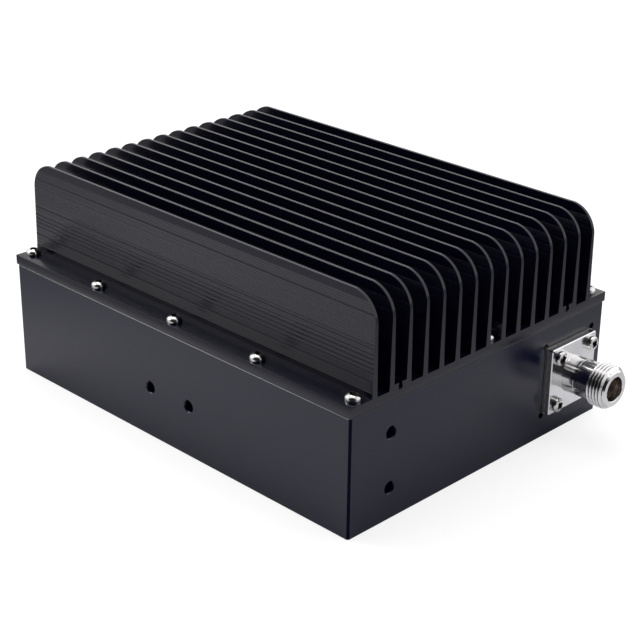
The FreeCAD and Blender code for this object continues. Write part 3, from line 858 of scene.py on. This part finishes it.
@dataclass
class PanScrews:
    """The pan-head screws that show, each with a domed head and a tapered cross recess."""

    head: float = 2.7
    height: float = 2.5
    side: float = 0.8
    fullness: float = 1.0
    shank: float = 1.5
    recess_reach: float = 1.6
    recess_foot: float = 0.75
    blade: float = 0.5
    web: float = 0.9
    recess_depth: float = 1.7
    foot_blade: float = 0.18
    foot_web: float = 0.24
    rim: float = 0.12
    crown_ends: tuple[float, float] = (0.12, math.pi / 2 - 0.06)
    mesher: Mesher = field(default_factory=Mesher)

    def profile(self, length: float) -> np.ndarray:
        """The screw's half outline from its tip to its crown, as (radius, height).

        The crown is a quarter of a superellipse from the head's side to the axis: radius
        head * cos(t) ** fullness and height side + rise * sin(t) ** fullness. A fullness of 1
        is an ellipse, and less is a fuller shoulder.

        Args:
            length: the shank's length.

        Returns:
            An (n, 2) array. The first and last radius are small, and closed by caps.
        """
        angle = np.linspace(*self.crown_ends, 12)
        rise = self.height - self.side
        across, up = np.cos(angle) ** self.fullness, np.sin(angle) ** self.fullness
        crown = np.stack([self.head * across, self.side + rise * up], -1)
        start = [(self.shank - 0.3, -length), (self.shank, -length + 0.3), (self.shank, 0.0),
                 (self.head - 0.1, 0.0), (self.head, 0.1), (self.head, self.side)]
        return np.concatenate([start, crown])

    def recess(self, centre: Triple, facing: Axis, turn: float) -> bpy.types.Object:
        """The cross-shaped cutter: twelve-sided rings that narrow towards the bottom.

        Args:
            centre: the seat's middle.
            facing: the way the head faces.
            turn: how far the cross is turned, in degrees.

        Returns:
            The cutter.
        """
        levels = [(self.height - self.recess_depth, self.recess_foot, self.foot_blade, self.foot_web),
                  (self.height + 0.4, self.recess_reach + 0.1, self.blade, self.web)]
        out = np.array(facing.value)
        side = np.array((1.0, 0.0, 0.0))
        rise = np.cross(out, side)
        rings = []
        for level, reach, blade, web in levels:
            arm = np.array([(reach, -blade), (reach, blade), (web, web)])
            angles = np.radians(turn + np.arange(4) * 90.0)
            cosine, sine = np.cos(angles), np.sin(angles)
            spin = np.stack([cosine, -sine, sine, cosine], -1).reshape(4, 2, 2)
            flat = np.einsum("kij,pj->kpi", spin, arm).reshape(-1, 2)
            rings.append(np.array(centre) + level * out + flat[:, :1] * side + flat[:, 1:] * rise)
        return self.mesher.rings("recess", np.stack(rings), capped=True)

    def paint_recess_shade(self, screw: bpy.types.Object, seat: np.ndarray, out: np.ndarray) -> None:
        """Gives the faces inside the recess the screw's second metal, a near-black steel that is painted
        shade.

        A face is inside if its middle is nearer to the axis than the recess reaches, above
        the recess's foot, and well below the crown at its radius.

        Args:
            screw: the screw.
            seat: the middle of the head's seat, in millimetres.
            out: the way the head faces.
        """
        offset = face_middles(screw) - seat
        height = offset @ out
        radius = np.linalg.norm(offset - height[:, None] * out, axis=1)
        crown = self.profile(1.0)[6:]
        top = np.interp(radius, crown[::-1, 0], crown[::-1, 1])
        foot = self.height - self.recess_depth - 5 * SLACK
        inside = (radius < self.recess_reach + 0.1) & (height > foot) & (height < top - self.rim)
        number_materials(screw, inside)

    def build(self, finish: bpy.types.Material, dark: bpy.types.Material, prefix: str, facing: Axis,
              turns: dict[str, float]) -> None:
        """Builds a screw for each CAD node whose name starts with the prefix.

        Args:
            finish: the screws' material.
            dark: the near-black steel inside the recess, painted shade where light hardly reaches.
            prefix: the start of the CAD nodes' names.
            facing: the way their heads face.
            turns: each node's cross recess angle in degrees.
        """
        out = np.array(facing.value)
        for node in sorted(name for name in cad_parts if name.startswith(prefix)):
            low, high = cad_corners(node)
            crown = np.where(out > 0, high, low)
            foot = np.where(out > 0, low, high)
            middle = (low + high) / 2
            length = abs((crown - foot) @ out) - self.height
            seat = middle * (1 - np.abs(out)) + (crown - out * self.height) * np.abs(out)
            rings = turned_rings(self.profile(length), tuple(seat), facing, 56)
            screw = self.mesher.rings(node.replace("screw", "pan_head"), rings, capped=True)
            self.mesher.carve(screw, [self.recess(tuple(seat), facing, turns.get(node, 20.0))])
            dress(screw, "screw_steel", node, finish, dark)
            self.paint_recess_shade(screw, seat, out)


class LightTree(NodeTree):
    """The tree of the floor or the world: mixes of shaders by share."""

    def diffuse(self, colour: Triple) -> bpy.types.NodeSocket:
        """A matt shader of one colour."""
        return self.add("ShaderNodeBsdfDiffuse", Color=(*colour, 1.0)).outputs[0]

    def sky(self, light: float) -> bpy.types.NodeSocket:
        """A white background of one strength."""
        return self.add("ShaderNodeBackground", Color=(1.0, 1.0, 1.0, 1.0), Strength=light).outputs[0]

    def eased(self, value: bpy.types.NodeSocket, low: float, high: float) -> bpy.types.NodeSocket:
        """A share that eases from 0 to 1 as a value grows.

        Args:
            value: the socket with the value.
            low: the value up to which the share is 0.
            high: the value from which it is 1.

        Returns:
            The socket with the share.
        """
        ease = self.add("ShaderNodeMapRange", interpolation_type="SMOOTHSTEP", From_Min=low, From_Max=high)
        self.join(value, ease.inputs["Value"])
        return ease.outputs["Result"]

    def towards(self, way: bpy.types.NodeSocket, centre: Triple,
                spread: tuple[float, float]) -> bpy.types.NodeSocket:
        """How far a direction points to one side of the studio.

        The share is 1 where the angle to the centre is below the first spread, 0 where it is
        above the second, and eases in between.

        Args:
            way: the socket with the direction.
            centre: the middle of that side.
            spread: the two angles in degrees.

        Returns:
            The socket with the share.
        """
        dot = self.add("ShaderNodeVectorMath", operation="DOT_PRODUCT")
        dot.inputs[1].default_value = Vector(centre).normalized()
        self.join(way, dot.inputs[0])
        edge, full = (math.cos(math.radians(angle)) for angle in reversed(spread))
        return self.eased(dot.outputs["Value"], edge, full)

    def mixed(self, share: bpy.types.NodeSocket, first: bpy.types.NodeSocket,
              second: bpy.types.NodeSocket) -> bpy.types.NodeSocket:
        """A mix of two shaders.

        Args:
            share: the socket with the second shader's share.
            first: the first shader.
            second: the second shader.

        Returns:
            The mix.
        """
        node = self.add("ShaderNodeMixShader")
        for start, end in zip((share, first, second), node.inputs):
            self.join(start, end)
        return node.outputs[0]


@dataclass
class Studio:
    """The floor, the lamps, the background and the camera."""

    azimuth: float = -45.5217
    elevation: float = 24.3584
    roll: float = 0.7699
    distance: float = 609.336
    shift_right: float = 5.899
    shift_up: float = 25.868
    focal_pixels: float = 1604.392
    frame_pixels: float = 640.0
    sensor: float = 36.0
    clip: tuple[float, float] = (10.0, 20000.0)
    floor_half: float = 3000.0
    paper_colour: Triple = (0.88, 0.88, 0.9)
    # Darker papers seen only in reflections: painted shade at the front right and on the far floor.
    front_paper_painted_shade: Triple = (0.77, 0.77, 0.79)
    far_paper_painted_shade: Triple = (0.38, 0.38, 0.4)
    far_reach: tuple[float, float] = (105.0, 235.0)
    unlit_paper: Triple = (0.03, 0.03, 0.035)
    floor_glow: float = 0.65
    glow_strength: float = 1.2
    world_light: float = 0.8
    back_light: float = 1.12
    back_side: Triple = (0.15, 0.76, 0.63)
    back_spread: tuple[float, float] = (34.0, 60.0)
    right_light: float = 1.2
    right_side: Triple = (0.8, -0.45, 0.35)
    right_spread: tuple[float, float] = (20.0, 50.0)
    left_light: float = 0.96
    left_side: Triple = (-0.74, 0.65, 0.2)
    left_spread: tuple[float, float] = (8.0, 24.0)
    unlit_light: float = 0.016
    unlit_side: Triple = (-0.78, -0.52, 0.33)
    unlit_spread: tuple[float, float] = (38.0, 62.0)
    near_corner: Triple = (-66.0, -86.8, 0.0)
    unlit_floor: Triple = (-0.7, -0.7, 0.0)
    unlit_floor_spread: tuple[float, float] = (28.0, 66.0)
    front_floor: Triple = (0.87, -0.5, 0.0)
    front_floor_spread: tuple[float, float] = (40.0, 75.0)
    lamp_aim: Triple = (0.0, 0.0, 40.0)

    def camera(self) -> None:
        """Places the camera on a sphere about a point near the object's middle."""
        azimuth, elevation, roll = (math.radians(v) for v in (self.azimuth, self.elevation, self.roll))
        back = Vector((math.sin(azimuth) * math.cos(elevation), -math.cos(azimuth) * math.cos(elevation),
                       math.sin(elevation)))
        right = Vector((math.cos(azimuth), math.sin(azimuth), 0.0))
        up = back.cross(right)
        place = back * self.distance + right * self.shift_right + up * self.shift_up
        across = right * math.cos(roll) + up * math.sin(roll)
        rise = -right * math.sin(roll) + up * math.cos(roll)
        data = bpy.data.cameras.new("camera")
        data.sensor_width = self.sensor
        data.lens = self.focal_pixels / self.frame_pixels * data.sensor_width
        data.clip_start, data.clip_end = (reach * METRES for reach in self.clip)
        camera = bpy.data.objects.new("camera", data)
        turn = Matrix((across, rise, back)).transposed().to_4x4()
        camera.matrix_world = Matrix.Translation(place * METRES) @ turn
        bpy.context.scene.collection.objects.link(camera)
        bpy.context.scene.camera = camera

    def floor(self) -> None:
        """A pale floor at the object's foot."""
        half = self.floor_half * METRES
        mesh = bpy.data.meshes.new("floor")
        corners_in_order = [(-half, -half, 0), (half, -half, 0), (half, half, 0), (-half, half, 0)]
        mesh.from_pydata(corners_in_order, [], [(0, 1, 2, 3)])
        floor = bpy.data.objects.new("floor", mesh)
        bpy.context.scene.collection.objects.link(floor)
        mesh.materials.append(self.paper())

    def paper(self) -> bpy.types.Material:
        """The floor's paper.

        It is white to the camera but for the shadow. In reflections it carries painted shade: a little darker
        at the front right, darker still away from the object, and unlit beyond the near corner, where the
        camera is.

        Returns:
            The material.
        """
        material = bpy.data.materials.new("floor_paper")
        material.use_nodes = True
        tree = LightTree(material.node_tree)
        seen = tree.add("ShaderNodeLightPath")
        place = tree.add("ShaderNodeTexCoord").outputs["Object"]
        spoke = tree.add("ShaderNodeVectorMath", operation="SUBTRACT")
        spoke.inputs[1].default_value = Vector(self.near_corner) * METRES
        way = tree.add("ShaderNodeVectorMath", operation="NORMALIZE")
        distance = tree.add("ShaderNodeVectorMath", operation="LENGTH")
        for start, end in ((place, spoke), (spoke.outputs["Vector"], way), (place, distance)):
            tree.join(start, end.inputs[0])
        ahead = way.outputs["Vector"]
        near_and_far = (reach * METRES for reach in self.far_reach)
        lit = tree.diffuse(self.paper_colour)
        # In glossy rays, the paper is darkened by direction and distance: painted shade.
        for share, colour in (
                (tree.towards(ahead, self.front_floor, self.front_floor_spread), self.front_paper_painted_shade),
                (tree.eased(distance.outputs["Value"], *near_and_far), self.far_paper_painted_shade),
                (tree.towards(ahead, self.unlit_floor, self.unlit_floor_spread), self.unlit_paper)):
            in_glossy = tree.add("ShaderNodeMath", operation="MULTIPLY")
            tree.join(share, in_glossy.inputs[0])
            tree.join(seen.outputs["Is Glossy Ray"], in_glossy.inputs[1])
            lit = tree.mixed(in_glossy.outputs[0], lit, tree.diffuse(colour))
        glow = tree.add("ShaderNodeEmission", Strength=self.glow_strength)
        white = tree.add("ShaderNodeMath", operation="MULTIPLY")
        white.inputs[1].default_value = self.floor_glow
        tree.join(seen.outputs["Is Camera Ray"], white.inputs[0])
        shown = tree.mixed(white.outputs[0], lit, glow.outputs[0])
        tree.join(shown, tree.add("ShaderNodeOutputMaterial").inputs["Surface"])
        return material

    def world(self) -> None:
        """Soft white light from all round: stronger high up behind the object, to its right
        and low at its back left, and missing on the unlit side where the camera stands."""
        world = bpy.data.worlds.new("studio")
        bpy.context.scene.world = world
        world.use_nodes = True
        tree = LightTree(world.node_tree)
        seen = tree.add("ShaderNodeLightPath")
        way = tree.add("ShaderNodeTexCoord").outputs["Generated"]
        lit = tree.sky(self.world_light)
        for side, spread, light in ((self.back_side, self.back_spread, self.back_light),
                                    (self.right_side, self.right_spread, self.right_light),
                                    (self.left_side, self.left_spread, self.left_light),
                                    (self.unlit_side, self.unlit_spread, self.unlit_light)):
            lit = tree.mixed(tree.towards(way, side, spread), lit, tree.sky(light))
        shown = tree.mixed(seen.outputs["Is Camera Ray"], lit, tree.sky(1.0))
        tree.join(shown, tree.add("ShaderNodeOutputWorld").inputs["Surface"])

    def lamp(self, name: str, place: Triple, size: float, power: float) -> None:
        """Hangs an area lamp that faces the object.

        Args:
            name: the lamp's name.
            place: where it hangs, in millimetres.
            size: the side of its square, in millimetres.
            power: its power in watts.
        """
        data = bpy.data.lights.new(name, "AREA")
        data.energy = power
        data.size = size * METRES
        lamp = bpy.data.objects.new(name, data)
        spot = Vector(place) * METRES
        aim = Vector(self.lamp_aim) * METRES - spot
        lamp.matrix_world = Matrix.Translation(spot) @ aim.to_track_quat("-Z", "Y").to_matrix().to_4x4()
        bpy.context.scene.collection.objects.link(lamp)

    def build(self) -> None:
        """Sets up the whole studio."""
        self.camera()
        self.floor()
        self.world()
        self.lamp("left_lamp", place=(-490.0, 770.0, 780.0), size=400.0, power=4.0)
        self.lamp("top_lamp", place=(200.0, 150.0, 1300.0), size=900.0, power=5.6)
        bpy.context.scene.view_settings.view_transform = "Standard"


class DummyLoad:
    """The whole object: its new pieces, and the finishes of the CAD nodes that stay."""

    KEPT = {
        "enclosure": BOX_BLACK,
        "load_block": BLOCK_METAL,
        "load_cover": BLOCK_METAL,
        "heat_spreader": BLOCK_METAL,
        "connector_dielectric": INSULATOR,
        "connector_contact": CONTACT,
        "resistor_carrier": COPPER,
        "resistor_tab": GOLD,
        "resistor_chip": CERAMIC,
        "resistor_cap": CERAMIC,
    }
    LID_TURNS = {"lid_screw_left_1": 12.0, "lid_screw_left_2": 50.0, "lid_screw_left_3": 31.0,
                 "lid_screw_left_4": 74.0, "lid_screw_left_5": 5.0, "lid_screw_right_1": 38.0}
    FLANGE_TURNS = {"connector_screw_1": 8.0, "connector_screw_2": 52.0, "connector_screw_3": 30.0,
                    "connector_screw_4": 71.0}

    def __init__(self) -> None:
        """Starts with no finish made."""
        self.finishes: dict[str, bpy.types.Material] = {}

    def finish(self, kind: Anodising | Metal | Compound) -> bpy.types.Material:
        """The material of a finish, made at its first use.

        Args:
            kind: the finish.

        Returns:
            The material.
        """
        if kind.name not in self.finishes:
            self.finishes[kind.name] = kind.material()
        return self.finishes[kind.name]

    def dress_nodes(self) -> None:
        """Gives each CAD node that stays its finish. The inner screws are plain steel."""
        for name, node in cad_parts.items():
            node.data.materials.clear()
            node.data.materials.append(self.finish(self.KEPT.get(name, STEEL)))

    def build(self) -> None:
        """Builds and dresses every piece."""
        self.dress_nodes()
        FinnedLid().build(self.finish(LID_BLACK))
        # The bore's and the thread root's metals are darkened copies: painted shade.
        metals = (NICKEL, NICKEL_FLAT, BORE_PAINTED_SHADE, NICKEL_THREAD, NICKEL_ROOT_PAINTED_SHADE)
        PanelConnector().build(*(self.finish(kind) for kind in metals))
        # The second screw metal is a near-black steel for the recesses: painted shade.
        steel, dark = self.finish(STEEL), self.finish(RECESS_PAINTED_SHADE)
        PanScrews().build(steel, dark, "lid_screw", Axis.UP, self.LID_TURNS)
        PanScrews(height=2.3, side=1.1, fullness=0.7).build(steel, dark, "connector_screw", Axis.FORWARD,
                                                             self.FLANGE_TURNS)


def main() -> None:
    """Builds the object and the studio."""
    logging.basicConfig(level=logging.INFO, format="%(name)s %(message)s")
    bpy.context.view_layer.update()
    DummyLoad().build()
    Studio().build()


if __name__ == "__main__":
    main()
